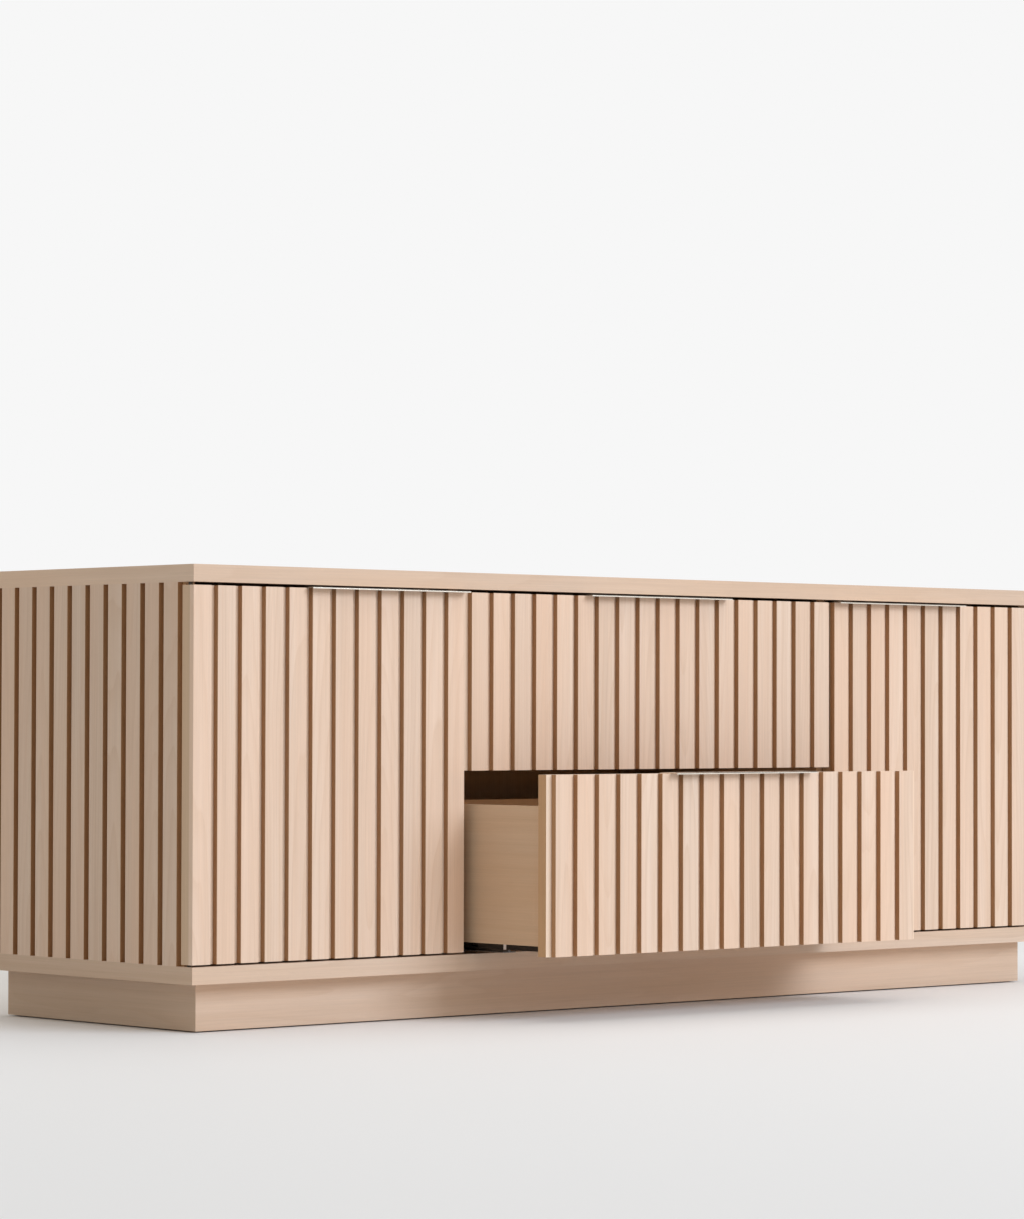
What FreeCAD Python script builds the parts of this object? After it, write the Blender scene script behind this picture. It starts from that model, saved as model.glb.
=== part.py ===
"""Low media cabinet with a slatted front and ends, two end doors, two stacked middle drawers and a
recessed plinth. The lower drawer is modelled part open; everything else is closed.

Pieces are built with x from the left end, y from the front faces towards the back and z from the
floor, in millimetres. place() then moves them so that the origin is on the floor under the middle
of the cabinet, with the front facing -Y.
"""
import FreeCAD, Part

import math
import os

from FreeCAD import Vector

# ---- driving dimensions, mm ----
width = 1829.0
depth = 508.0
height = 665.0
top_thickness = 25.0
bottom_thickness = 25.0
plinth_height = 70.0
plinth_inset = 28.7          # front and ends
plinth_back_inset = 25.0
plinth_board = 18.0

door_slat_count = 12
drawer_slat_count = 18
slat_groove = 10.9
slat_depth = 8.7
slat_arris = 0.4
front_core = 16.8            # board behind the slats of doors and drawers
side_core = 16.0
divider_thickness = 20.0

front_gap = 3.5              # between neighbouring fronts, side by side
bottom_gap = 3.0
middle_gap = 4.0
top_gap = 4.5

pin_radius = 3.0
pin_bush_wall = 2.5
pin_edge_wood = 2.5          # wood left between bush and door edge
pin_reach = 12.0             # into the door and into the panels
running_clearance = 0.05
swing_clearance = 0.6

pull_length = 305.0
pull_reach = 14.5
pull_plate = 1.5
pull_lip = 2.6
pull_back_margin = 3.0       # front's back face showing behind the plate
pull_screw_depth = 16.0
screw_radius = 1.75
screw_head_radius = 3.4
screw_clearance = 0.05

drawer_open = 185.0          # how far the lower drawer stands open
box_side_gap = 5.5
box_board = 12.0
box_height = 206.0
box_back_gap = 34.5          # between a drawer box and the back panel
box_bottom_thickness = 9.0
box_bottom_recess = 16.0
front_screw_bite = 10.0      # into the drawer front's core
housing_depth = 6.0
housing_clearance = 0.3

slide_lift = 2.0             # slide above the bottom panel
slide_setback = 1.0          # behind the carcass's front edge, or the drawer front's back
slide_height = 15.1
slide_sheet = 1.5
slide_flange_height = 30.0   # upright leg, screwed to the divider
slide_screw_height = 22.0    # above the slide's base
slide_screw_bite = 12.0      # into the divider
slide_middle_share = 0.5     # the middle member moves half as far as the drawer
runner_window = (10.0, 14.0, 3.2)
runner_window_setback = 148.0

back_thickness = 6.0
back_inset = 12.0
back_groove = 5.0
back_clearance = 0.25
cable_slot = (110.0, 50.0)
cable_slot_height = 60.0     # its lower edge above the bottom panel

shelf_thickness = 18.0
shelf_height = 255.0         # underside above the bottom panel
shelf_clearance = 1.0
shelf_front_setback = 22.0
shelf_pin_radius = 2.5
shelf_pin_reach = 9.0
shelf_hole_pitch = 32.0
shelf_holes_each_way = 2
shelf_pin_inset = 45.0
shelf_pin_collar = (1.5, 1.0)                  # wider than the pin by, and its thickness

dowel_radius = 4.0
dowel_in_panel = 12.0
dowel_in_upright = 18.0
dowel_end_inset = 60.0
dowel_gap = 0.1

glide_radius = 9.0
glide_height = 2.0
corner_block = 38.0
block_screw_head = (3.6, 2.4)                  # radius, thickness

magnet_size = (44.0, 14.0, 12.0)
strike_thickness = 1.2
strike_size = (36.0, 11.0)
strike_gap = 0.5
strike_edge_inset = 40.0     # from the door's free edge
strike_top_inset = 22.0
strike_screw_radius = 1.3
strike_screw_bite = 9.0      # into the door's core

# ---- derived sizes ----
front_thickness = slat_depth + front_core
# doors start and end on a slat; a drawer front shows a groove's width of core at each end
slat_pitch = (width + slat_groove - 2 * front_gap) / (2 * door_slat_count + drawer_slat_count)
slat_width = slat_pitch - slat_groove
door_width = door_slat_count * slat_pitch - slat_groove
floor_z = plinth_height + bottom_thickness     # upper face of the bottom panel
ceiling_z = height - top_thickness             # under face of the top panel
side_thickness = slat_depth + side_core
front_z = floor_z + bottom_gap
front_top = ceiling_z - top_gap
drawer_front_height = (front_top - front_z - middle_gap) / 2
upper_front_z = front_z + drawer_front_height + middle_gap
drawer_left = door_width + front_gap
drawer_width = width - 2 * drawer_left

bush_radius = pin_radius + pin_bush_wall
pivot_x = bush_radius + pin_edge_wood
pivot_y = slat_depth + front_core / 2
pivot_to_corner = math.hypot(pivot_x, front_thickness - pivot_y)
carcass_front = pivot_y + pivot_to_corner + swing_clearance

divider_left = door_width + front_gap / 2 - divider_thickness / 2
bay_left = divider_left + divider_thickness    # drawer bay, from the left end
back_y = depth - back_inset - back_thickness   # front face of the back panels
box_left = bay_left + box_side_gap
box_length = back_y - box_back_gap - front_thickness
slide_length = box_length
slide_z = floor_z + slide_lift
slide_y = carcass_front + slide_setback
box_z = slide_z + slide_height
slide_rise = upper_front_z - front_z           # from the lower drawer's parts to the upper's


def box(x, y, z, dx, dy, dz):
    """A block from its lowest corner and its size."""
    return Part.makeBox(dx, dy, dz, Vector(x, y, z))


def rod(x, y, z, radius, length, direction):
    return Part.makeCylinder(radius, length, Vector(x, y, z), Vector(*direction))


def prism(points, start, run):
    """A closed outline of (a, b) pairs swept along run; start turns a pair into a point."""
    corners = [start(a, b) for a, b in points]
    wire = Part.makePolygon(corners + corners[:1])
    return Part.Face(wire).extrude(Vector(*run))


def group(shapes):
    return Part.makeCompound(list(shapes))


def mirrored(shape):
    """The same piece at the other end of the cabinet."""
    return shape.mirror(Vector(width / 2, 0, 0), Vector(1, 0, 0))


def both_ends(shapes):
    shapes = list(shapes)
    return shapes + [mirrored(s) for s in shapes]


def moved(shape, dx=0.0, dy=0.0, dz=0.0):
    copy = shape.copy()
    copy.translate(Vector(dx, dy, dz))
    return copy


def cut_all(shape, tools):
    tools = list(tools)
    return shape.cut(tools) if tools else shape


# ---- slats ----
def front_slat(x, size, z, tall):
    """One slat on a front: its outer face is at y = 0, with eased arrises."""
    a = slat_arris
    outline = [(0, slat_depth), (0, a), (a, 0), (size - a, 0), (size, a), (size, slat_depth)]
    return prism(outline, lambda u, v: Vector(x + u, v, z), (0, 0, tall))


def end_slat(y, size):
    """One slat on the left end: its outer face is at x = 0."""
    a = slat_arris
    outline = [(slat_depth, 0), (a, 0), (0, a), (0, size - a), (a, size), (slat_depth, size)]
    tall = ceiling_z - floor_z
    return prism(outline, lambda u, v: Vector(u, y + v, floor_z), (0, 0, tall))


def row_of_front_slats(x, count, z, tall):
    return group(front_slat(x + i * slat_pitch, slat_width, z, tall) for i in range(count))


def door_slats():
    return row_of_front_slats(0, door_slat_count, front_z, front_top - front_z)


def drawer_slats(z):
    first = drawer_left + slat_groove
    return row_of_front_slats(first, drawer_slat_count, z, drawer_front_height)


def side_slats():
    """As many slats as come nearest to the front's pitch, from behind the door to the back."""
    first = front_thickness + slat_groove
    span = depth - first + slat_groove
    count = max(1, round(span / slat_pitch))
    pitch = span / count
    return group(end_slat(first + i * pitch, pitch - slat_groove) for i in range(count))


# ---- carcass ----
def dowel_rows():
    """Centre of each dowel row in plan: the middle of each upright, near its front and back."""
    xs = [slat_depth + side_core / 2, divider_left + divider_thickness / 2]
    near = carcass_front + dowel_end_inset
    far = back_y - dowel_end_inset
    ys = [near, (near + far) / 2, far]
    return [(x, y) for x in xs for y in ys]


def dowels(extra=0.0):
    """The left half's dowels, or with extra the holes for them."""
    found = []
    for x, y in dowel_rows():
        for z, up in ((floor_z, 1), (ceiling_z, -1)):
            panel_end = z - up * (dowel_in_panel + extra)
            length = dowel_in_panel + dowel_in_upright + 2 * extra
            found.append(rod(x, y, panel_end, dowel_radius + extra, length, (0, 0, up)))
    return found


def back_slot(x, dx, z, dz):
    slot = back_thickness + 2 * back_clearance
    return box(x, back_y - back_clearance, z, dx, slot, dz)


def door_pins(extra=0.0):
    """The left door's two pivot pins, fixed in the top and bottom panels."""
    low = front_z + pin_reach
    high = front_top - pin_reach
    r = pin_radius + extra
    lower = rod(pivot_x, pivot_y, floor_z - pin_reach, r, low - floor_z + pin_reach, (0, 0, 1))
    upper = rod(pivot_x, pivot_y, high, r, ceiling_z + pin_reach - high, (0, 0, 1))
    return [lower, upper]


def flat_panel(z, thickness, slot_z):
    board = box(0, 0, z, width, depth, thickness)
    slot_x = side_thickness - back_groove
    slot = back_slot(slot_x, width - 2 * slot_x, slot_z, back_groove)
    return cut_all(board, both_ends(dowels(dowel_gap) + door_pins()) + [slot])


def top_panel():
    return flat_panel(ceiling_z, top_thickness, ceiling_z)


def bottom_panel():
    return flat_panel(plinth_height, bottom_thickness, floor_z - back_groove)


def shelf_pin_spots(x):
    """Plan positions and heights of the shelf holes along one face at x."""
    base = floor_z + shelf_height - shelf_pin_radius
    ys = [carcass_front + shelf_front_setback + shelf_pin_inset, back_y - shelf_pin_inset]
    steps = range(-shelf_holes_each_way, shelf_holes_each_way + 1)
    return [(x, y, base + n * shelf_hole_pitch) for y in ys for n in steps]


def shelf_holes(x, into):
    r = shelf_pin_radius + screw_clearance
    deep = shelf_pin_reach + 0.2
    return [rod(px, y, z, r, deep, (into, 0, 0)) for px, y, z in shelf_pin_spots(x)]


def side_board():
    board = box(slat_depth, carcass_front, floor_z, side_core, depth - carcass_front,
                ceiling_z - floor_z)
    slot = back_slot(side_thickness - back_groove, back_groove, floor_z, ceiling_z - floor_z)
    return cut_all(board, dowels(dowel_gap) + [slot] + shelf_holes(side_thickness, -1))


def slide_screw_spots():
    """Along the fixed slide member's upright leg, for the lower drawer."""
    z = slide_z + slide_screw_height
    return [(slide_y + share * slide_length, z) for share in (0.08, 0.5, 0.92)]


def slide_screws(extra=0.0):
    found = []
    for rise in (0.0, slide_rise):
        for y, z in slide_screw_spots():
            shank = rod(bay_left + slide_sheet, y, z + rise, screw_radius + extra,
                        slide_sheet + slide_screw_bite + extra, (-1, 0, 0))
            head = rod(bay_left + slide_sheet, y, z + rise, screw_head_radius, 1.6, (1, 0, 0))
            found.append(shank if extra else shank.fuse(head).removeSplitter())
    return found


def divider():
    board = box(divider_left, carcass_front, floor_z, divider_thickness, depth - carcass_front,
                ceiling_z - floor_z)
    tall = ceiling_z - floor_z
    slots = [
        back_slot(divider_left, back_groove, floor_z, tall),
        back_slot(bay_left - back_groove, back_groove, floor_z, tall),
    ]
    holes = dowels(dowel_gap) + shelf_holes(divider_left, 1) + slide_screws(screw_clearance)
    return cut_all(board, slots + holes)


def back_panel(left, right):
    """A back panel for the bay between two faces, held in the grooves round it."""
    reach = back_groove - back_clearance
    z = floor_z - reach
    tall = ceiling_z - floor_z + 2 * reach
    return box(left - reach, back_y, z, right - left + 2 * reach, back_thickness, tall)


def left_back_panel():
    panel = back_panel(side_thickness, divider_left)
    wide, tall = cable_slot
    x = (side_thickness + divider_left - wide) / 2
    slot = box(x, back_y, floor_z + cable_slot_height, wide, back_thickness, tall)
    return panel.cut(slot)


def shelf():
    x = side_thickness + shelf_clearance
    front = carcass_front + shelf_front_setback
    return box(x, front, floor_z + shelf_height, divider_left - shelf_clearance - x,
               back_y - shelf_clearance - front, shelf_thickness)


def shelf_pins():
    """Four pins carry the left shelf: a shank in the wood and a round peg under the shelf."""
    z = floor_z + shelf_height - shelf_pin_radius
    wider, collar_thickness = shelf_pin_collar
    found = []
    for x, into in ((side_thickness, -1), (divider_left, 1)):
        ys = sorted({y for _, y, _ in shelf_pin_spots(x)})
        for y in ys:
            start = x + into * shelf_pin_reach
            shank = rod(start, y, z, shelf_pin_radius, 2 * shelf_pin_reach, (-into, 0, 0))
            collar = rod(x, y, z, shelf_pin_radius + wider, collar_thickness, (-into, 0, 0))
            under = box(x - 20, y - 10, floor_z + shelf_height, 40, 20, 10)
            found.append(shank.fuse(collar).cut(under).removeSplitter())
    return found


# ---- plinth ----
plinth_right = width - plinth_inset
plinth_back = depth - plinth_back_inset
plinth_body = plinth_height - glide_height
rail_xs = [width / 2 + k * (width - 2 * plinth_inset) / 4 for k in (-1, 0, 1)]


def mitred(x0, y0, x1, y1, inwards):
    """A plinth board along an edge of the plinth's outline, mitred at both ends."""
    along = Vector(x1 - x0, y1 - y0, 0)
    along.normalize()
    inner = Vector(*inwards, 0)
    t = plinth_board
    a = Vector(x0, y0, glide_height)
    b = Vector(x1, y1, glide_height)
    corners = [a, b, b + (inner - along) * t, a + (inner + along) * t]
    return Part.Face(Part.makePolygon(corners + [a])).extrude(Vector(0, 0, plinth_body))


def plinth_front_board():
    return mitred(plinth_inset, plinth_inset, plinth_right, plinth_inset, (0, 1))


def plinth_back_board():
    return mitred(plinth_right, plinth_back, plinth_inset, plinth_back, (0, -1))


def plinth_end_board():
    return mitred(plinth_inset, plinth_back, plinth_inset, plinth_inset, (1, 0))


def plinth_rails():
    y = plinth_inset + plinth_board
    long = plinth_back - plinth_board - y
    half = plinth_board / 2
    return [box(x - half, y, glide_height, plinth_board, long, plinth_body) for x in rail_xs]


def corner_blocks():
    """Triangular glue blocks in the left corners of the plinth."""
    x = plinth_inset + plinth_board
    found = []
    for y, to in ((plinth_inset + plinth_board, 1), (plinth_back - plinth_board, -1)):
        outline = [(0, 0), (corner_block, 0), (0, to * corner_block)]
        found.append(prism(outline, lambda u, v: Vector(x + u, y + v, glide_height),
                           (0, 0, plinth_body)))
    return found


def block_screws(extra=0.0):
    """Screws up through the corner blocks and the middle of each rail into the bottom panel."""
    offset = plinth_board + corner_block / 3.5
    y_front = plinth_inset + offset
    y_back = plinth_back - offset
    left = plinth_inset + offset
    spots = [(x, y) for x in (left, width - left) for y in (y_front, y_back)]
    spots += [(x, y) for x in rail_xs for y in (depth * 0.3, depth * 0.7)]
    z = glide_height + plinth_body * 0.35
    length = plinth_height + bottom_thickness * 0.6 - z
    head_radius, head_thickness = block_screw_head
    found = []
    for x, y in spots:
        shank = rod(x, y, z, screw_radius + extra, length + extra, (0, 0, 1))
        head = rod(x, y, z - head_thickness - extra, head_radius + extra,
                   head_thickness + extra, (0, 0, 1))
        found.append(shank.fuse(head).removeSplitter())
    return found


def screw_wells():
    """The screws' clearance holes, with a wide well under each head."""
    wells = block_screws(screw_clearance)
    for screw in block_screws():
        low = screw.BoundBox
        wells.append(rod(low.Center.x, low.Center.y, glide_height - 1,
                         block_screw_head[0] + screw_clearance, low.ZMin - glide_height + 1,
                         (0, 0, 1)))
    return wells


def glides():
    """Round nylon feet: four corners, front and back of the middle, and one at the very centre."""
    near = plinth_inset + plinth_board + corner_block * 0.2
    far = depth - near + plinth_inset - plinth_back_inset
    left = near
    spots = [(x, y) for x in (left, width / 2, width - left) for y in (near, far)]
    spots.append((width / 2, depth / 2))
    feet = []
    for x, y in spots:
        foot = rod(x, y, 0, glide_radius, glide_height, (0, 0, 1))
        lower_rim = [e for e in foot.Edges if abs(e.BoundBox.ZMax) < 0.01]
        feet.append(foot.makeFillet(glide_height * 0.35, lower_rim))
    return feet


# ---- fronts: doors and drawers ----
def pull(x, z):
    """An edge pull: a plate on the front's top edge, bent down into a lip ahead of it."""
    r = pull_plate
    back = front_thickness - pull_back_margin
    start = -pull_reach
    lip_end = pull_plate - pull_lip

    def at(a, b):
        return Vector(x, a, z + b)

    bend = Part.Arc(at(start, pull_plate - r), at(start + r * (1 - math.sqrt(0.5)),
                    pull_plate - r * (1 - math.sqrt(0.5))), at(start + r, pull_plate)).toShape()
    rest = [at(start + r, pull_plate), at(back, pull_plate), at(back, 0), at(start + pull_plate, 0),
            at(start + pull_plate, lip_end), at(start, lip_end), at(start, pull_plate - r)]
    lines = [Part.makeLine(p, q) for p, q in zip(rest, rest[1:]) if p.distanceToPoint(q) > 1e-6]
    face = Part.Face(Part.Wire([bend] + lines))
    return face.extrude(Vector(pull_length, 0, 0)).cut(group(pull_screws(x, z, screw_clearance)))


def pull_screws(x, z, extra=0.0):
    """Countersunk screws down through the pull into the front's core."""
    found = []
    for share in (0.1, 0.5, 0.9):
        px = x + share * pull_length
        head = Part.makeCone(screw_radius + extra, screw_head_radius + extra, pull_plate,
                             Vector(px, pivot_y, z), Vector(0, 0, 1))
        deep = pull_screw_depth + extra
        shank = rod(px, pivot_y, z - deep, screw_radius + extra, deep, (0, 0, 1))
        found.append(head.fuse(shank).removeSplitter())
    return found


door_pull_x = door_width - pull_length
drawer_pull_x = drawer_left + (drawer_width - pull_length) / 2
strike_x = door_width - strike_edge_inset - strike_size[0]
strike_z = front_top - strike_top_inset - strike_size[1]


def door_bushes(extra=0.0):
    """Flanged nylon bushes in the door's two pivot holes."""
    bushes = []
    for z, up in ((front_z, 1), (front_top, -1)):
        sleeve = rod(pivot_x, pivot_y, z, bush_radius + extra, pin_reach + 2.0 + extra, (0, 0, up))
        if not extra:
            bore = rod(pivot_x, pivot_y, z, pin_radius + running_clearance, pin_reach + 0.5,
                       (0, 0, up))
            sleeve = sleeve.cut(bore)
        bushes.append(sleeve)
    return bushes


def strike():
    wide, tall = strike_size
    return box(strike_x, front_thickness, strike_z, wide, strike_thickness, tall)


def strike_screws(extra=0.0):
    z = strike_z + strike_size[1] / 2
    found = []
    for share in (0.2, 0.8):
        x = strike_x + share * strike_size[0]
        found.append(rod(x, front_thickness + strike_thickness, z, strike_screw_radius + extra,
                         strike_thickness + strike_screw_bite + extra, (0, -1, 0)))
    return found


def door_core():
    board = box(0, slat_depth, front_z, door_width, front_core, front_top - front_z)
    holes = door_bushes(screw_clearance) + pull_screws(door_pull_x, front_top, screw_clearance)
    return cut_all(board, holes + strike_screws(screw_clearance))


def magnet():
    """A magnetic catch under the top panel, with its face just behind the strike plate."""
    wide, tall, long = magnet_size
    x = strike_x + strike_size[0] / 2 - wide / 2
    y = front_thickness + strike_thickness + strike_gap
    z = strike_z + strike_size[1] / 2 - tall / 2
    body = box(x, y, z, wide, long, tall)
    bracket = box(x + 4, y + 2, z + tall, wide - 8, long + 16, ceiling_z - z - tall)
    return body.fuse(bracket).removeSplitter()


def drawer_core(z):
    board = box(drawer_left, slat_depth, z, drawer_width, front_core, drawer_front_height)
    holes = pull_screws(drawer_pull_x, z + drawer_front_height, screw_clearance)
    return cut_all(board, holes + front_screws(z, screw_clearance))


# ---- drawer boxes ----
box_width = width - 2 * box_left
box_inner_left = box_left + box_board
box_inner_width = box_width - 2 * box_board
box_back = front_thickness + box_length
bottom_z = box_z + box_bottom_recess
housing = housing_depth - housing_clearance


def bottom_board(rise, extra=0.0):
    """The drawer bottom, or with extra the groove that holds it."""
    reach = housing_depth if extra else housing
    return box(box_inner_left - reach, front_thickness + box_board - reach, bottom_z + rise - extra,
               box_inner_width + 2 * reach, box_length - 2 * box_board + 2 * reach,
               box_bottom_thickness + 2 * extra)


def box_side(rise):
    board = box(box_left, front_thickness, box_z + rise, box_board, box_length, box_height)
    return board.cut(bottom_board(rise, housing_clearance))


def box_cross(y, rise):
    board = box(box_inner_left, y, box_z + rise, box_inner_width, box_board, box_height)
    return board.cut(bottom_board(rise, housing_clearance))


def box_front(rise):
    front = box_cross(front_thickness, rise)
    return cut_all(front, front_screws(front_z + rise, screw_clearance))


def front_screws(z, extra=0.0):
    """Screws from inside the box into the front's core; z is the front's lower edge."""
    rise = z - front_z
    found = []
    for dz in (box_bottom_recess + 40.0, box_height - 30.0):
        for share in (0.12, 0.88):
            x = box_inner_left + share * box_inner_width
            y = front_thickness + box_board
            at = box_z + rise + dz
            shank = rod(x, y, at, screw_radius + extra, box_board + front_screw_bite + extra,
                        (0, -1, 0))
            head = rod(x, y, at, 3.8, 1.8, (0, 1, 0))
            found.append(shank if extra else shank.fuse(head).removeSplitter())
    return found


# ---- drawer slides: (across from the divider's face, up from the slide's base) outlines ----
def slide_part(outline, y, rise):
    """A slide member's outline swept back from y by the slide's length."""
    return prism(outline, lambda u, v: Vector(bay_left + u, y, slide_z + rise + v),
                 (0, slide_length, 0))


fixed_outline = [
    (0, 0), (36, 0), (36, 6), (30.5, 6), (30.5, 4.5), (34.5, 4.5), (34.5, slide_sheet),
    (slide_sheet, slide_sheet), (slide_sheet, 4.5), (9.5, 4.5), (9.5, 6), (slide_sheet, 6),
    (slide_sheet, slide_flange_height), (0, slide_flange_height),
]
middle_outline = [
    (7.5, 2.3), (32.5, 2.3), (32.5, 3.7), (22, 3.7), (22, 11), (29, 11), (29, 12.4), (11, 12.4),
    (11, 11), (18, 11), (18, 3.7), (7.5, 3.7),
]
runner_outline = [
    (6, slide_height), (6, 7.3), (13.5, 7.3), (13.5, 8.8), (7.5, 8.8), (7.5, 13.6), (32.5, 13.6),
    (32.5, 8.8), (26.5, 8.8), (26.5, 7.3), (34, 7.3), (34, slide_height),
]


def fixed_slides():
    screws = slide_screws(screw_clearance)
    members = [slide_part(fixed_outline, slide_y, rise) for rise in (0.0, slide_rise)]
    return both_ends(cut_all(m, screws) for m in members)


def middle_slides(rise):
    return both_ends([slide_part(middle_outline, front_thickness + slide_setback, rise)])


def runners(rise):
    """The drawer's own slide members, under the box sides, each with a window in its outer wall."""
    member = slide_part(runner_outline, front_thickness + slide_setback, rise)
    across, along, tall = runner_window
    window = box(bay_left, front_thickness + runner_window_setback,
                 slide_z + rise + slide_height - 2 * slide_sheet - tall, across, along, tall)
    return both_ends([member.cut(window)])


# ---- assembly ----
def door_parts(side, flip):
    """The left door's nodes, or their mirror images for the right door."""
    made = {
        "core": [door_core()],
        "slats": [door_slats()],
        "pull": [pull(door_pull_x, front_top)],
        "screws": pull_screws(door_pull_x, front_top) + strike_screws(),
        "pivot_bushes": door_bushes(),
        "strike_plate": [cut_all(strike(), strike_screws(screw_clearance))],
    }
    return {f"{side}_door_{n}": [flip(s) for s in shapes] for n, shapes in made.items()}


def drawer_parts(level, rise, opened):
    z = front_z + rise
    top = z + drawer_front_height
    made = {
        "front_core": [drawer_core(z)],
        "slats": [drawer_slats(z)],
        "pull": [pull(drawer_pull_x, top)],
        "screws": pull_screws(drawer_pull_x, top) + front_screws(z),
        "box_sides": both_ends([box_side(rise)]),
        "box_front": [box_front(rise)],
        "box_back": [box_cross(box_back - box_board, rise)],
        "box_bottom": [bottom_board(rise)],
        "slide_runners": runners(rise),
    }
    nodes = {f"{level}_drawer_{n}": [moved(s, dy=-opened) for s in shapes]
             for n, shapes in made.items()}
    middle = [moved(s, dy=-opened * slide_middle_share) for s in middle_slides(rise)]
    nodes[f"{level}_slide_middles"] = middle
    return nodes


def cabinet_parts():
    wells = screw_wells()
    return {
        "top_panel": [top_panel()],
        "bottom_panel": [cut_all(bottom_panel(), wells)],
        "left_side_core": [side_board()],
        "right_side_core": [mirrored(side_board())],
        "left_side_slats": [side_slats()],
        "right_side_slats": [mirrored(side_slats())],
        "left_divider": [divider()],
        "right_divider": [mirrored(divider())],
        "back_panel_left": [left_back_panel()],
        "back_panel_centre": [back_panel(bay_left, width - bay_left)],
        "back_panel_right": [mirrored(left_back_panel())],
        "carcass_dowels": both_ends(dowels()),
        "plinth_front": [plinth_front_board()],
        "plinth_back": [plinth_back_board()],
        "plinth_left_end": [plinth_end_board()],
        "plinth_right_end": [mirrored(plinth_end_board())],
        "plinth_cross_rails": [cut_all(r, wells) for r in plinth_rails()],
        "plinth_corner_blocks": [cut_all(b, wells) for b in both_ends(corner_blocks())],
        "plinth_screws": block_screws(),
        "floor_glides": glides(),
        "left_shelf": [shelf()],
        "right_shelf": [mirrored(shelf())],
        "shelf_pins": both_ends(shelf_pins()),
        "door_pivot_pins": both_ends(door_pins()),
        "door_magnets": both_ends([magnet()]),
        "slide_fixed_members": fixed_slides(),
        "slide_screws": both_ends(slide_screws()),
    }


def place(shapes):
    whole = group(s for shape in shapes for s in shape.Solids)
    whole.translate(Vector(-width / 2, -depth / 2, 0))
    return whole


nodes = cabinet_parts()
nodes.update(door_parts("left", lambda s: s))
nodes.update(door_parts("right", mirrored))
nodes.update(drawer_parts("upper", slide_rise, 0.0))
nodes.update(drawer_parts("lower", 0.0, drawer_open))

os.makedirs("parts", exist_ok=True)
for name, shapes in nodes.items():
    place(shapes).exportStep(f"parts/{name}.step")
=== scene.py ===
"""Looks for the slatted media cabinet: its woods and metals, the small visible fittings, a plain
pale studio, soft light and the camera. Lengths are in metres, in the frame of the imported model:
+X to the right, +Y to the back, +Z up, with the origin on the floor under the cabinet's middle."""
import math

import bmesh
import bpy
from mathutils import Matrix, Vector


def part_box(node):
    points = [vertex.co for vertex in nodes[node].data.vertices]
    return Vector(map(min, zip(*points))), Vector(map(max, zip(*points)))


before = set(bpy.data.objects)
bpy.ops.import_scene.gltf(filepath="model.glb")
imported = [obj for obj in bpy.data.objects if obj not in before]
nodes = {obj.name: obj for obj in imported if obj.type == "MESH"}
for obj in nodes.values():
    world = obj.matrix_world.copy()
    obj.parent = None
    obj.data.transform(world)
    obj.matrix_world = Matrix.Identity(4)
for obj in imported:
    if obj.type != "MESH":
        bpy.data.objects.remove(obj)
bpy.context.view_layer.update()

MM = 0.001

# ---- sizes read from the frame ----
top_low, top_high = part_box("top_panel")
width = top_high.x - top_low.x
depth = top_high.y - top_low.y
left_x = top_low.x
door_low, door_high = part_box("left_door_slats")
end_low, end_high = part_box("left_side_slats")

# the slats' rhythm, from the row's length: equal slats with equal grooves between them
GROOVE = 10.9 * MM
DOOR_SLATS = 12
END_SLATS = 11
front_pitch = (door_high.x - door_low.x + GROOVE) / DOOR_SLATS
end_pitch = (end_high.y - end_low.y + GROOVE) / END_SLATS


def srgb(r, g, b):
    """A display colour from 0 to 255 as the linear colour that shaders take."""
    def channel(v):
        v /= 255
        return v / 12.92 if v <= 0.04045 else ((v + 0.055) / 1.055) ** 2.4
    return (channel(r), channel(g), channel(b), 1.0)


def shaded(colour, factor, lift=0.0):
    """The colour with each channel scaled, and raised by lift where it is given."""
    return tuple(min(1.0, c * factor + lift) for c in colour[:3]) + (1.0,)


# ---- shader building ----
# numbered sockets of the Mix node: its factor, its two colours, its two plain values
MIX_FACTOR, MIX_COLOUR_A, MIX_COLOUR_B = 0, 6, 7
MIX_VALUE_A, MIX_VALUE_B = 2, 3
MIX_COLOUR_OUT = 2


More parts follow.
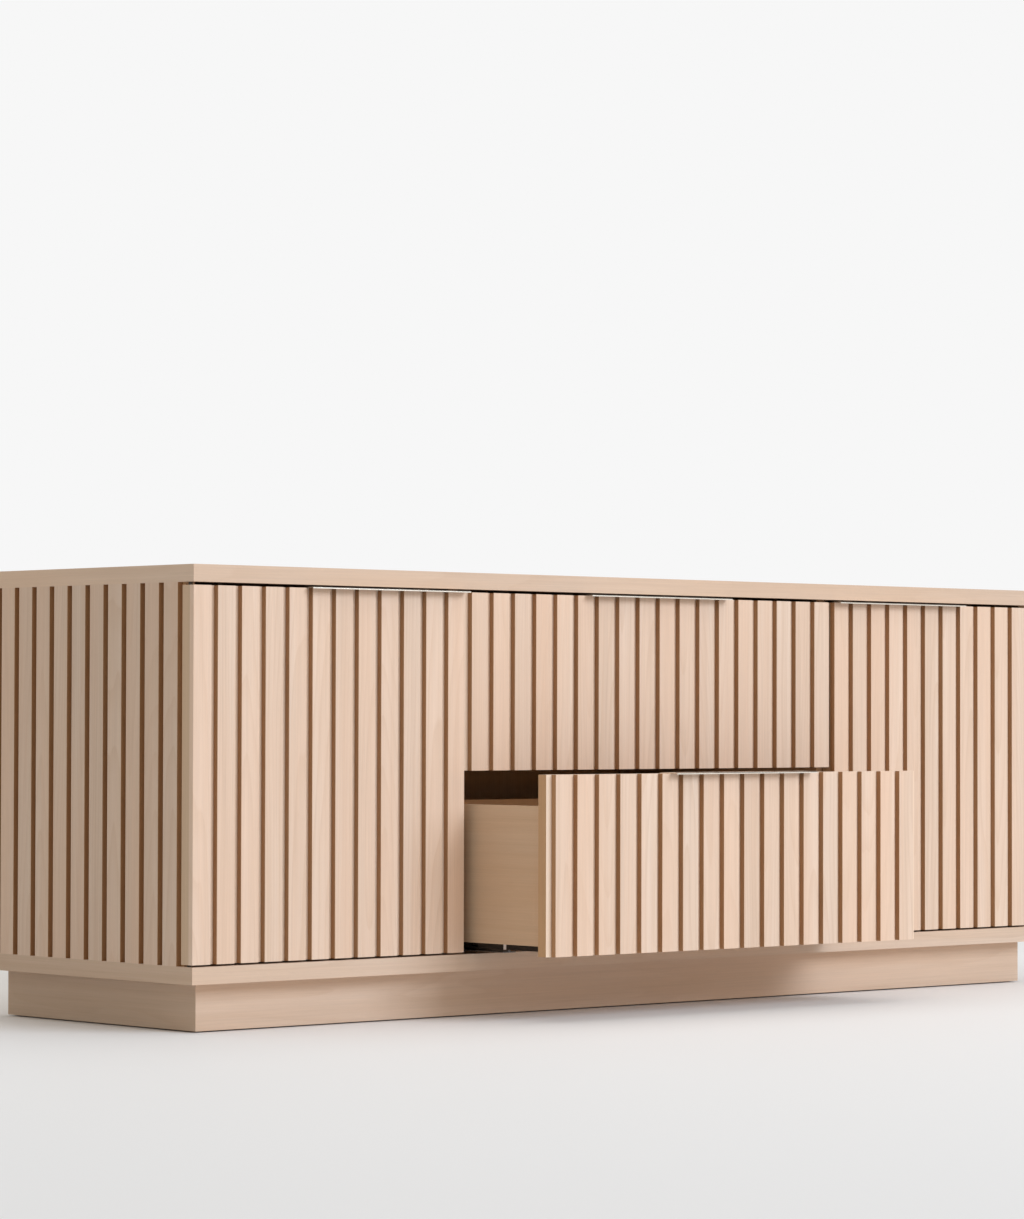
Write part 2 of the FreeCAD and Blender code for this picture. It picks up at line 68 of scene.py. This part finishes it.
class Graph:
    """One material's node tree, built with short calls. Sockets and plain numbers both serve."""

    def __init__(self, name):
        self.material = bpy.data.materials.new(name)
        self.material.use_nodes = True
        self.tree = self.material.node_tree
        self.shader = self.tree.nodes["Principled BSDF"]

    def node(self, kind, inputs, output=0, **settings):
        made = self.tree.nodes.new(kind)
        for key, value in settings.items():
            setattr(made, key, value)
        for key, value in inputs.items():
            self.feed(made.inputs[key], value)
        return made.outputs[output]

    def feed(self, socket, value):
        if isinstance(value, bpy.types.NodeSocket):
            self.tree.links.new(value, socket)
        else:
            socket.default_value = value

    def set(self, **values):
        for key, value in values.items():
            self.feed(self.shader.inputs[key.replace("_", " ")], value)

    def coords(self):
        return self.node("ShaderNodeTexCoord", {}, "Object")

    def normal(self):
        return self.node("ShaderNodeTexCoord", {}, "Normal")

    def split(self, vector):
        made = self.tree.nodes.new("ShaderNodeSeparateXYZ")
        self.tree.links.new(vector, made.inputs[0])
        return made.outputs

    def join(self, x, y, z):
        return self.node("ShaderNodeCombineXYZ", {0: x, 1: y, 2: z})

    def math(self, operation, a, b=0.0, c=0.0):
        return self.node("ShaderNodeMath", {0: a, 1: b, 2: c}, operation=operation)

    def scaled(self, vector, scale):
        return self.node("ShaderNodeVectorMath", {0: vector, 1: scale}, operation="MULTIPLY")

    def centred(self, value):
        """A value from 0 to 1, moved to lie round 0."""
        return self.math("SUBTRACT", value, 0.5)

    def between(self, value, low, high):
        """1 where the value lies between low and high, and 0 elsewhere."""
        return self.math("MULTIPLY", self.math("GREATER_THAN", value, low),
                         self.math("LESS_THAN", value, high))

    def noise(self, vector, scale=1.0, detail=3.0, rough=0.5):
        values = {"Vector": vector, "Scale": scale, "Detail": detail, "Roughness": rough}
        return self.node("ShaderNodeTexNoise", values, "Fac")

    def ramp(self, value, *stops):
        """Maps a value through (position, level) stops to a grey level."""
        made = self.tree.nodes.new("ShaderNodeValToRGB")
        bands = made.color_ramp.elements
        while len(bands) < len(stops):
            bands.new(0.5)
        for band, (position, level) in zip(bands, stops):
            band.position = position
            band.color = (level, level, level, 1.0)
        self.tree.links.new(value, made.inputs[0])
        return made.outputs[0]

    def mix(self, factor, a, b, blend="MIX"):
        made = self.tree.nodes.new("ShaderNodeMix")
        made.data_type = "RGBA"
        made.blend_type = blend
        self.feed(made.inputs[MIX_FACTOR], factor)
        self.feed(made.inputs[MIX_COLOUR_A], a)
        self.feed(made.inputs[MIX_COLOUR_B], b)
        return made.outputs[MIX_COLOUR_OUT]

    def bump(self, height, distance, strength=1.0):
        values = {"Height": height, "Distance": distance, "Strength": strength}
        self.set(Normal=self.node("ShaderNodeBump", values))


# ---- wood ----
FACING = 0.7                  # a face points along an axis when its normal reaches this far
CUT_STRIDE = 17.0             # keeps the boards' random draws apart
CUT_SPREAD = 5.0              # how far apart in the timber two boards are cut
RING_SPACING = 5.2 * MM
RING_SWAY = 0.030             # the rings' wander from true circles
PITH_NEAR, PITH_RANGE = 0.012, 0.05
PITH_LEAN = 0.11              # over each metre along the board
PITH_OFFSET = 0.06
# the figure's fineness across the grain, across it again, and along it
SLOW_FIGURE = (1.0, 1.0, 0.12)
STREAK_FIGURE = (520.0, 520.0, 7.0)
FLECK_FIGURE = (1100.0, 1100.0, 60.0)
BAND_FIGURE = (90.0, 90.0, 1.6)
# how much each part of the figure shows
BAND_SHARE, RING_SHARE, BLOTCH_SHARE = 0.45, 0.40, 0.8
STREAK_DEPTH, PORE_DEPTH = 0.20, 0.045
TONE_RANGE, HUE_RANGE = 0.13, 0.04
GRAIN_RELIEF = 0.12 * MM


def grain_axes(g, grain):
    """Object coordinates turned so that (across, depth, along) follow the grain direction.

    A board whose grain runs along X shows crossbanding on its end faces, as an edge band has."""
    x, y, z = g.split(g.coords())
    if grain == "Z":
        return x, y, z
    if grain == "Y":
        return x, z, y
    end = facing(g, 0)
    along = g.node("ShaderNodeMix", {MIX_FACTOR: end, MIX_VALUE_A: x, MIX_VALUE_B: y})
    across = g.node("ShaderNodeMix", {MIX_FACTOR: end, MIX_VALUE_A: y, MIX_VALUE_B: x})
    return across, z, along


def facing(g, axis):
    """1 on faces that point along this axis, either way, and 0 on the others."""
    return g.math("GREATER_THAN", g.math("ABSOLUTE", g.split(g.normal())[axis]), FACING)


def wood(name, grain, colours, seed, cells=None, figure=1.0, tone_spread=0.5, roughness=0.46,
         sides=None):
    """Satin lacquered wood: growth rings round a tilted pith, fine streaks, flecks and soft tones.

    cells is (axis index, start, pitch): each cell along that axis is a separate slat, cut from
    another part of a board, so its tone and figure are its own. sides is (axis, limit, tint):
    faces along that axis, within the limit, take the tint: painted shade in the grooves and on
    edges, and painted light and shade on the boards' end faces."""
    light, dark, warm = colours
    g = Graph(name)
    across, deep, along = grain_axes(g, grain)
    if cells:
        axis, start, pitch = cells
        place = g.split(g.coords())[axis]
        count = g.math("FLOOR", g.math("DIVIDE", g.math("SUBTRACT", place, start), pitch))
        cell = g.math("ADD", count, seed * CUT_STRIDE)
        centre = g.math("MULTIPLY_ADD", count, pitch, start + pitch / 2)
        if grain == "Z" and axis == 1:
            across, deep = deep, across
        across = g.math("SUBTRACT", across, centre)
    else:
        cell = g.math("ADD", seed * CUT_STRIDE, 0.0)
    own = g.node("ShaderNodeTexWhiteNoise", {"W": cell}, "Color", noise_dimensions="1D")
    r1, r2, r3 = g.split(own)

    spot = g.join(g.math("ADD", across, g.math("MULTIPLY", r1, CUT_SPREAD)),
                  g.math("ADD", deep, g.math("MULTIPLY", r2, CUT_SPREAD)),
                  g.math("ADD", along, g.math("MULTIPLY", r3, CUT_SPREAD)))
    stretched = g.scaled(spot, SLOW_FIGURE)

    # growth rings: distance from a pith line that leans slowly through the board
    sway = g.math("MULTIPLY", g.centred(g.noise(stretched, 14.0, 2.0)), RING_SWAY)
    lean = g.math("MULTIPLY", g.centred(r3), PITH_LEAN)
    from_pith = g.math("ADD", g.math("MULTIPLY_ADD", r2, PITH_RANGE, PITH_NEAR),
                       g.math("MULTIPLY", lean, along))
    off_centre = g.math("ADD", across, g.math("MULTIPLY", g.centred(r1), PITH_OFFSET))
    reach = g.math("SQRT", g.math("ADD", g.math("MULTIPLY", off_centre, off_centre),
                                  g.math("MULTIPLY", from_pith, from_pith)))
    rings = g.math("FRACT", g.math("DIVIDE", g.math("ADD", reach, sway), RING_SPACING))
    late = g.ramp(rings, (0.0, 0.0), (0.55, 0.12), (0.86, 0.75), (0.95, 1.0), (1.0, 0.0))

    # streaks and short flecks along the grain
    streaks = g.noise(g.scaled(spot, STREAK_FIGURE), 1.0, 3.0, 0.6)
    flecks = g.noise(g.scaled(spot, FLECK_FIGURE), 1.0, 2.0, 0.6)
    pores = g.ramp(flecks, (0.60, 0.0), (0.72, 1.0))
    bands = g.ramp(g.noise(g.scaled(spot, BAND_FIGURE), 1.0, 2.0), (0.32, 0.0), (0.70, 1.0))
    blotch = g.ramp(g.noise(stretched, 11.0, 2.0), (0.35, 0.0), (0.70, 1.0))

    colour = g.mix(g.math("MULTIPLY", bands, BAND_SHARE), light, dark)
    colour = g.mix(g.math("MULTIPLY", late, RING_SHARE * figure), colour, dark)
    colour = g.mix(g.math("MULTIPLY", blotch, BLOTCH_SHARE), colour, warm)
    shade = g.math("MULTIPLY_ADD", streaks, STREAK_DEPTH, 1.0 - STREAK_DEPTH / 2)
    shade = g.math("MULTIPLY", shade, g.math("MULTIPLY_ADD", pores, -PORE_DEPTH, 1.0))
    tone = g.math("MULTIPLY_ADD", g.centred(r2), TONE_RANGE * tone_spread, 1.0)
    shade = g.math("MULTIPLY", shade, tone)
    hue = g.math("MULTIPLY_ADD", g.centred(r1), HUE_RANGE * tone_spread, 1.0)
    tint = g.join(shade, g.math("MULTIPLY", shade, hue),
                  g.math("MULTIPLY", shade, g.math("MULTIPLY", hue, hue)))
    colour = g.mix(1.0, colour, tint, "MULTIPLY")
    # the sides tint is painted light and shade on the faces along one axis
    if sides:
        axis, limit, painted_light_shade = sides
        inside = g.math("LESS_THAN", g.math("ABSOLUTE", g.split(g.coords())[axis]), limit)
        colour = g.mix(g.math("MULTIPLY", facing(g, axis), inside), colour,
                       g.mix(1.0, colour, painted_light_shade, "MULTIPLY"))

    g.set(Base_Color=colour, Roughness=g.math("MULTIPLY_ADD", streaks, 0.16, roughness - 0.08))
    g.set(Specular_IOR_Level=0.4)
    height = g.math("MULTIPLY_ADD", pores, -0.6, streaks)
    g.bump(height, GRAIN_RELIEF, 0.35)
    return g.material


# ---- metal and plastic surfaces ----
# fineness of brush lines that run along each axis
BRUSH_LINES = {"X": (6.0, 1600.0, 1600.0), "Z": (1600.0, 1600.0, 6.0)}
BRUSH_SCRATCH = 0.10          # spread of roughness over the brush lines
# a face looks down below the first of these upward shares of its normal, and belongs to the
# bend between upright and level where its normal lies between the other two
DOWNWARD = -0.1
BEND_LOW, BEND_HIGH = 0.3, 0.96


def brushed_metal(name, colour, roughness, along, under=1.0):
    """Metal with fine brush lines along one axis, and slight smudges. Faces that look down, and
    the bend from upright to level, are darkened by under: painted shade."""
    g = Graph(name)
    brushing = g.noise(g.scaled(g.coords(), BRUSH_LINES[along]), 1.0, 2.0, 0.6)
    smudge = g.noise(g.coords(), 40.0, 3.0)
    tone = g.mix(g.ramp(smudge, (0.35, 0.0), (0.75, 0.5)), colour, shaded(colour, 0.82))
    underside_painted_shade = (under, under * 0.9, under * 0.8, 1.0)
    up = g.split(g.normal())[2]
    bend = g.between(up, BEND_LOW, BEND_HIGH)
    shaded_faces = g.math("MAXIMUM", bend, g.math("LESS_THAN", up, DOWNWARD))
    g.set(Base_Color=g.mix(shaded_faces, tone, g.mix(1.0, tone, underside_painted_shade, "MULTIPLY")), Metallic=1.0)
    level = g.math("MULTIPLY_ADD", brushing, BRUSH_SCRATCH, roughness - BRUSH_SCRATCH / 2)
    g.set(Roughness=g.math("MULTIPLY_ADD", smudge, 0.06, level))
    g.bump(brushing, 0.03 * MM, 0.25)
    return g.material


# colour of a painted glint on the slide runners
GLINT_COLOUR = srgb(214, 216, 218)


def zinc_sheet(name, colour, roughness, glint_span=None):
    """Zinc-plated steel sheet: faint crystalline patches and a low sheen. The optional last
    argument is a stretch of the sheet along Y, from one place to another, painted bright: a
    painted glint."""
    g = Graph(name)
    cells = g.node("ShaderNodeTexVoronoi", {"Vector": g.coords(), "Scale": 260.0}, "Color")
    patch = g.split(cells)[0]
    cloud = g.noise(g.coords(), 55.0, 4.0, 0.6)
    mixed = g.math("MULTIPLY", g.math("ADD", patch, cloud), 0.5)
    sheet = g.mix(mixed, colour, shaded(colour, 1.35))
    if glint_span:
        along = g.split(g.coords())[1]
        sheet = g.mix(g.between(along, *glint_span), sheet, GLINT_COLOUR)
    g.set(Base_Color=sheet, Metallic=0.92)
    level = g.math("MULTIPLY_ADD", cloud, 0.16, roughness - 0.12)
    g.set(Roughness=g.math("MULTIPLY_ADD", patch, 0.10, level))
    g.bump(cloud, 0.05 * MM, 0.3)
    return g.material


def plastic(name, colour, roughness):
    """Moulded plastic with a fine spark-eroded texture and faint rubbing."""
    g = Graph(name)
    grainy = g.noise(g.coords(), 2600.0, 2.0)
    rubbed = g.noise(g.coords(), 120.0, 3.0)
    g.set(Base_Color=g.mix(g.ramp(rubbed, (0.5, 0.0), (0.8, 0.6)), colour,
                           shaded(colour, 1.5, 0.01)))
    g.set(Roughness=g.math("MULTIPLY_ADD", rubbed, 0.2, roughness - 0.1))
    g.bump(grainy, 0.05 * MM, 0.4)
    return g.material


# ---- the woods of this cabinet: light, dark and warm tones of each ----
FACE = (srgb(225, 201, 181), srgb(203, 172, 145), srgb(225, 192, 166))
BOARD = (srgb(213, 190, 170), srgb(192, 163, 137), srgb(213, 183, 157))
# lighter than the slats: painted light on the groove floors between the front slats
CORE_PAINTED_LIGHT = (srgb(240, 221, 202), srgb(222, 197, 172), srgb(238, 212, 187))
# a darker copy of the front slats' tones for the cabinet's ends: painted shade
END_FACE_PAINTED_SHADE = (srgb(217, 193, 173), srgb(196, 165, 138), srgb(217, 184, 158))
# lighter tones for the drawer boxes' fronts and backs: painted light inside the dim drawers
BOX_END_PAINTED_LIGHT = (srgb(244, 217, 188), srgb(226, 196, 162), srgb(240, 208, 172))
INNER = (srgb(213, 188, 161), srgb(194, 163, 131), srgb(208, 175, 141))

# painted shade that each colour takes in the grooves and on a core's edges, painted light on the
# top's end faces, and painted shade on the lower boards' end faces
GROOVE_PAINTED_SHADE = (0.56, 0.41, 0.26, 1.0)
EDGE_PAINTED_SHADE = (0.66, 0.52, 0.36, 1.0)
DOOR_EDGE_PAINTED_SHADE = (0.72, 0.64, 0.54, 1.0)
# painted shade on the floors of the grooves along the cabinet's ends
SIDE_GROOVE_FLOOR_SHADE = (0.865, 0.75, 0.60, 1.0)
TOP_END_PAINTED_LIGHT = (1.10, 1.10, 1.10, 1.0)
BOTTOM_END_PAINTED_SHADE = (0.91, 0.86, 0.80, 1.0)
PLINTH_END_PAINTED_SHADE = (0.84, 0.82, 0.78, 1.0)

# how far the edges are rounded, and the sharpest turn that is left as it is
BOARD_ARRIS = 0.5 * MM
PULL_ARRIS, PULL_ARRIS_STEPS = 0.7 * MM, 3
SOFT_TURN = math.radians(40)

front_cells = (0, left_x, front_pitch)
end_cells = (1, end_low.y, end_pitch)


def paint(name, material):
    slots = nodes[name].data.materials
    slots.clear()
    slots.append(material)


def soften_edges(name, size, segments=2):
    """Rounds a CAD node's sharp edges by a hair, so that they catch the light."""
    soft = nodes[name].modifiers.new("arris", "BEVEL")
    soft.width = size
    soft.segments = segments
    soft.limit_method = "ANGLE"
    soft.angle_limit = SOFT_TURN
    soft.harden_normals = True


slat_fronts = ["left_door_slats", "right_door_slats", "upper_drawer_slats", "lower_drawer_slats"]
for seed, name in enumerate(slat_fronts, 1):
    paint(name, wood(name, "Z", FACE, seed, front_cells,
                     sides=(0, width / 2 - MM, GROOVE_PAINTED_SHADE)))
for seed, name in enumerate(["left_side_slats", "right_side_slats"], 5):
    paint(name, wood(name, "Z", END_FACE_PAINTED_SHADE, seed, end_cells, tone_spread=0.45,
                     sides=(1, depth / 2 - MM, GROOVE_PAINTED_SHADE)))

# each board's grain direction, and the painted light (top) and painted shade (lower boards) on its
# end faces
boards = {
    "top_panel": ("X", TOP_END_PAINTED_LIGHT), "bottom_panel": ("X", BOTTOM_END_PAINTED_SHADE),
    "plinth_front": ("X", PLINTH_END_PAINTED_SHADE), "plinth_back": ("X", PLINTH_END_PAINTED_SHADE),
    "plinth_left_end": ("Y", PLINTH_END_PAINTED_SHADE), "plinth_right_end": ("Y", PLINTH_END_PAINTED_SHADE),
}
for seed, (name, (grain, band)) in enumerate(boards.items(), 11):
    paint(name, wood(name, grain, BOARD, seed, figure=0.8, sides=(0, width, band)))

# each core's tones, and the painted shade on its edges and, on the ends' cores, on the groove
# floors
cores = {
    "left_door_core": (CORE_PAINTED_LIGHT, DOOR_EDGE_PAINTED_SHADE), "right_door_core": (CORE_PAINTED_LIGHT, DOOR_EDGE_PAINTED_SHADE),
    "upper_drawer_front_core": (CORE_PAINTED_LIGHT, EDGE_PAINTED_SHADE), "lower_drawer_front_core": (CORE_PAINTED_LIGHT, EDGE_PAINTED_SHADE),
    "left_side_core": (INNER, SIDE_GROOVE_FLOOR_SHADE), "right_side_core": (INNER, SIDE_GROOVE_FLOOR_SHADE),
}
for seed, (name, (tones, edge)) in enumerate(cores.items(), 21):
    paint(name, wood(name, "Z", tones, seed, figure=0.7, sides=(0, width, edge)))

# the grain direction of the plainer boards inside
insides = {
    "left_divider": "Z", "right_divider": "Z", "left_shelf": "X", "right_shelf": "X",
    "back_panel_left": "Z", "back_panel_centre": "Z", "back_panel_right": "Z",
    "plinth_cross_rails": "Y", "plinth_corner_blocks": "Z", "carcass_dowels": "Z",
}
for seed, (name, grain) in enumerate(insides.items(), 31):
    paint(name, wood(name, grain, INNER, seed, roughness=0.58))

box_boards = {"box_sides": "Y", "box_front": "X", "box_back": "X", "box_bottom": "X"}
for seed, level in enumerate(("upper", "lower")):
    for part, grain in box_boards.items():
        tone = BOX_END_PAINTED_LIGHT if part in ("box_front", "box_back") else INNER
        paint(f"{level}_drawer_{part}", wood(f"{level}_{part}", grain, tone, 41 + seed,
                                             figure=0.35, roughness=0.55))

# ---- metal and plastic ----
# where the painted glint sits on the runners, and its length
GLINT_SETBACK, GLINT_LENGTH = 84 * MM, 6 * MM     # from the runners' front end
NICKEL = srgb(238, 228, 214)
# the slides' zinc is painted nearly black: painted shade where they sit in the cabinet's shadow
SLIDE_STEEL_PAINTED_SHADE, SLIDE_ROUGHNESS = srgb(46, 43, 40), 0.42
# under=0.06 paints near-black shade on the pulls' undersides and the bend along the lip's top
pull_metal = brushed_metal("brushed_nickel", NICKEL, 0.24, "X", under=0.06)
slide_steel_painted_shade = zinc_sheet("slide_zinc_painted_shade", SLIDE_STEEL_PAINTED_SHADE, SLIDE_ROUGHNESS)
# the middle members are darkened too: painted shade
middle_steel_painted_shade = zinc_sheet("slide_middle_zinc_painted_shade", srgb(92, 90, 88), 0.34)
screw_steel = zinc_sheet("screw_zinc", srgb(178, 178, 180), 0.34)
# the pins are painted dark: painted shade that hides their glint in the gaps
pin_steel_painted_shade = brushed_metal("pin_painted_dark", srgb(74, 68, 62), 0.4, "Z")
nylon = plastic("dark_nylon", srgb(52, 46, 42), 0.5)
catch_plastic = plastic("catch_plastic", srgb(140, 116, 90), 0.45)

fittings = {
    "floor_glides": nylon, "shelf_pins": pin_steel_painted_shade, "door_pivot_pins": pin_steel_painted_shade,
    "door_magnets": catch_plastic, "slide_fixed_members": slide_steel_painted_shade,
    "slide_screws": screw_steel, "plinth_screws": screw_steel,
}
for side in ("left", "right"):
    fittings[f"{side}_door_pull"] = pull_metal
    fittings[f"{side}_door_screws"] = screw_steel
    fittings[f"{side}_door_pivot_bushes"] = nylon
    fittings[f"{side}_door_strike_plate"] = screw_steel
for level in ("upper", "lower"):
    fittings[f"{level}_drawer_pull"] = pull_metal
    fittings[f"{level}_drawer_screws"] = screw_steel
    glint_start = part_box(f"{level}_drawer_slide_runners")[0].y + GLINT_SETBACK
    fittings[f"{level}_drawer_slide_runners"] = zinc_sheet(
        f"{level}_runner_zinc_painted_shade", SLIDE_STEEL_PAINTED_SHADE, SLIDE_ROUGHNESS,
        glint_span=(glint_start, glint_start + GLINT_LENGTH))
    fittings[f"{level}_slide_middles"] = middle_steel_painted_shade
for name, material in fittings.items():
    paint(name, material)

drawer_boxes = [f"{level}_drawer_{part}" for part in box_boards for level in ("upper", "lower")]
for name in [*boards, *insides, *cores, *drawer_boxes]:
    soften_edges(name, BOARD_ARRIS)
for name in [n for n in nodes if n.endswith("_pull")]:
    soften_edges(name, PULL_ARRIS, PULL_ARRIS_STEPS)


# ---- studio ----
FLOOR_REACH = 40.0            # from the middle of the floor to its edge
FLOOR_COLOUR = srgb(234, 232, 231)
BACKDROP = (0.93, 0.93, 0.93, 1.0)
ROOM_LIGHT = (0.50, 0.487, 0.45, 1.0)
WHITE = (1.0, 1.0, 1.0)
BODY_MIDDLE = (0.0, 0.0, 0.3)


def plain(name, colour, roughness):
    g = Graph(name)
    mottle = g.noise(g.coords(), 2.0, 2.0)
    g.set(Base_Color=g.mix(g.math("MULTIPLY", mottle, 0.3), colour, shaded(colour, 0.98)))
    g.set(Roughness=roughness)
    return g.material


def make_floor():
    mesh = bpy.data.meshes.new("floor")
    shape = bmesh.new()
    bmesh.ops.create_grid(shape, x_segments=1, y_segments=1, size=FLOOR_REACH)
    shape.to_mesh(mesh)
    shape.free()
    floor = bpy.data.objects.new("floor", mesh)
    bpy.context.collection.objects.link(floor)
    mesh.materials.append(plain("pale_floor", FLOOR_COLOUR, 0.7))


def area_light(name, place, target, size, power, colour=WHITE):
    data = bpy.data.lights.new(name, "AREA")
    data.shape = "RECTANGLE"
    data.size, data.size_y = size
    data.energy = power
    data.color = colour
    lamp = bpy.data.objects.new(name, data)
    lamp.location = place
    lamp.rotation_euler = (Vector(target) - Vector(place)).to_track_quat("-Z", "Y").to_euler()
    bpy.context.collection.objects.link(lamp)


def make_world():
    """A nearly white backdrop, also in reflections; the light that it gives the room is dimmer."""
    world = bpy.data.worlds.new("studio")
    bpy.context.scene.world = world
    world.use_nodes = True
    tree = world.node_tree
    path = tree.nodes.new("ShaderNodeLightPath")
    shown = tree.nodes.new("ShaderNodeMix")
    shown.data_type = "RGBA"
    tree.links.new(path.outputs["Is Diffuse Ray"], shown.inputs[MIX_FACTOR])
    shown.inputs[MIX_COLOUR_A].default_value = BACKDROP
    shown.inputs[MIX_COLOUR_B].default_value = ROOM_LIGHT
    tree.links.new(shown.outputs[MIX_COLOUR_OUT], tree.nodes["Background"].inputs["Color"])


make_floor()
make_world()
area_light("key", (4.3, -11.9, 7.1), BODY_MIDDLE, (8.6, 6.2), 1150.0, (0.83, 0.935, 1.085))
area_light("warm_fill", (1.0, -9.0, 0.5), BODY_MIDDLE, (4.0, 0.6), 42.0, (1.0, 0.50, 0.15))
area_light("overhead", (0.5, -0.1, 4.0), (0.5, -0.1, 0.0), (5.0, 4.0), 62.0)

# ---- camera ----
IMAGE_HEIGHT = 1219           # in pixels, the longer side of the picture
FOCAL = 4214.2                # in the same pixels
SENSOR = 36.0
CAMERA_PLACE = (-4.59, -4.9577, 0.453)
CAMERA_TURN = (91.4262, -0.1268, -42.3288)    # in degrees
camera = bpy.data.objects.new("camera", bpy.data.cameras.new("camera"))
bpy.context.collection.objects.link(camera)
camera.data.sensor_width = SENSOR
camera.data.lens = FOCAL * SENSOR / IMAGE_HEIGHT
camera.location = CAMERA_PLACE
camera.rotation_euler = [math.radians(turn) for turn in CAMERA_TURN]
bpy.context.scene.camera = camera
bpy.context.scene.view_settings.view_transform = "Standard"
